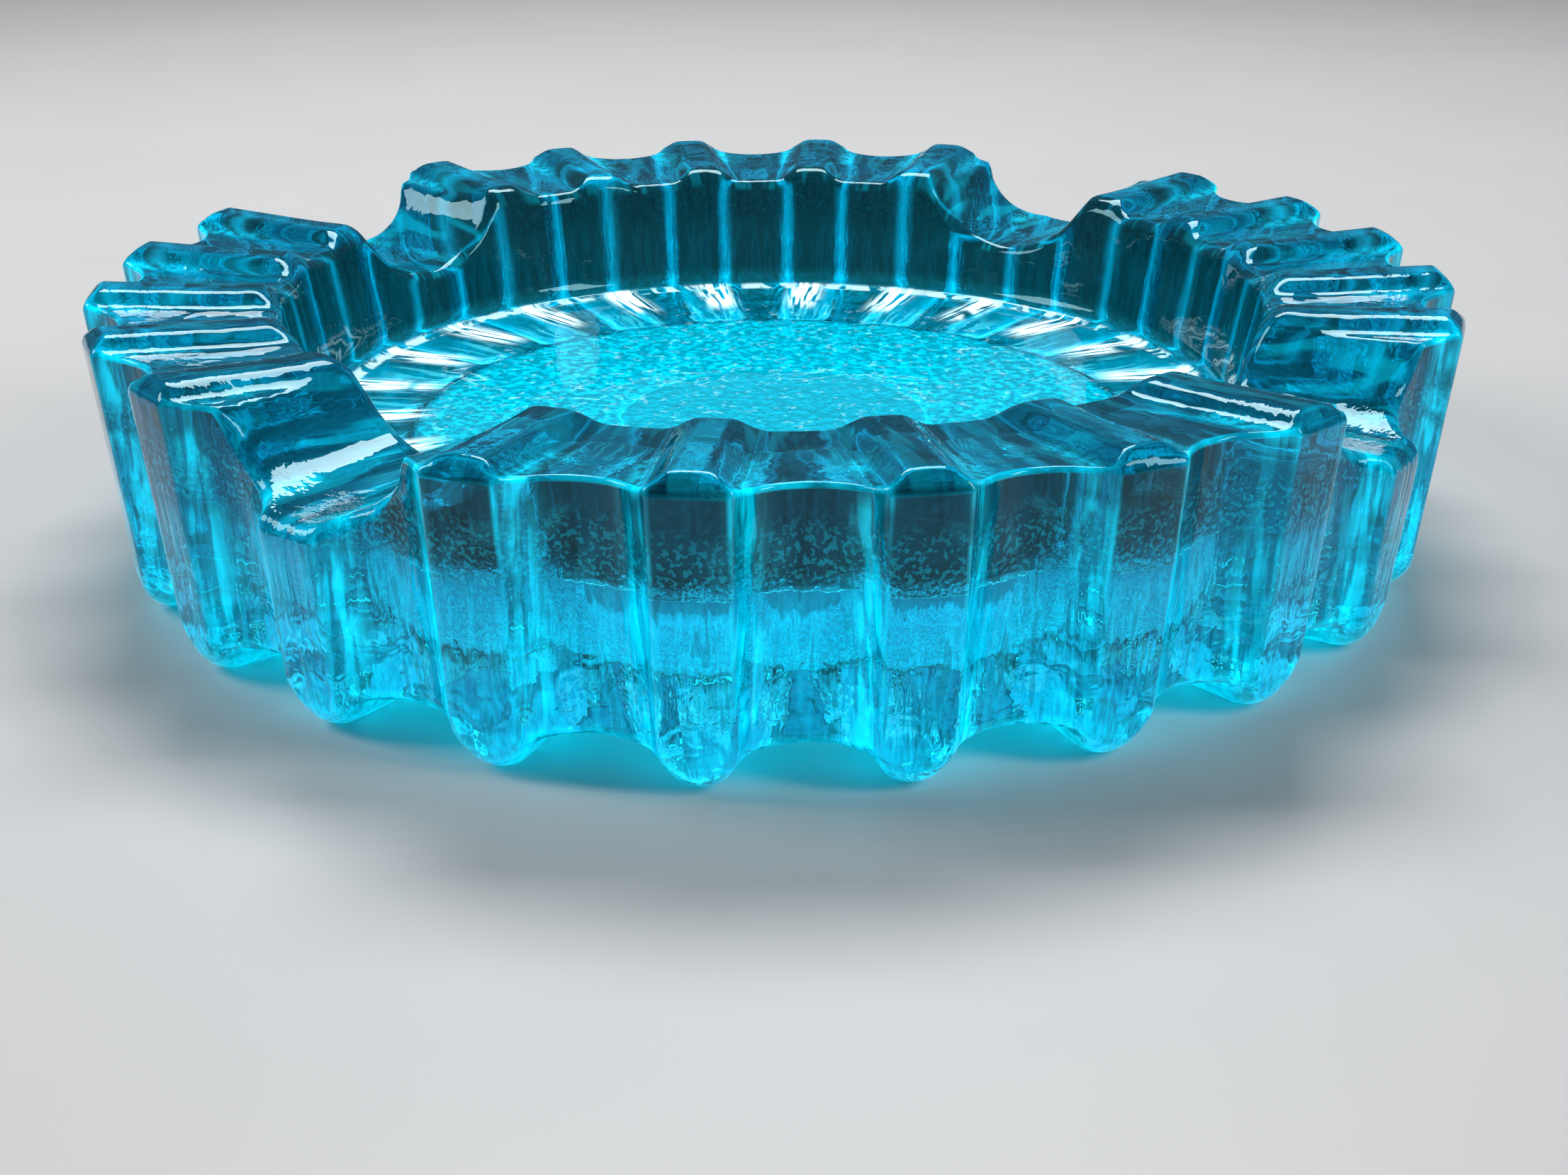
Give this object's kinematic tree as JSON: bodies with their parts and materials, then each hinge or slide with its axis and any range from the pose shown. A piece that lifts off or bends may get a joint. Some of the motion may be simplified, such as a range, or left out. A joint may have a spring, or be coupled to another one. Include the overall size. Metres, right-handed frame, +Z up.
{
  "type": "glass dish",
  "caption": "Heavy pressed-glass dish with a ribbed outer wall, a round drafted bowl, rest notches across its rim and a ring of small feet under its base",
  "frame": {"origin": "centre of the dish, on the plane that its feet stand on", "axes": "+Z up, out of the bowl; a rest notch lies on each of +X, -X, +Y and -Y"},
  "size_m": [0.1784, 0.1784, 0.0364],
  "materials": {
    "glass": "fire-polished pressed glass, cyan, with the stipple of the mould under its floor"
  },
  "bodies": {
    "root": {"glass_dish": "glass"}
  },
  "joints": []
}
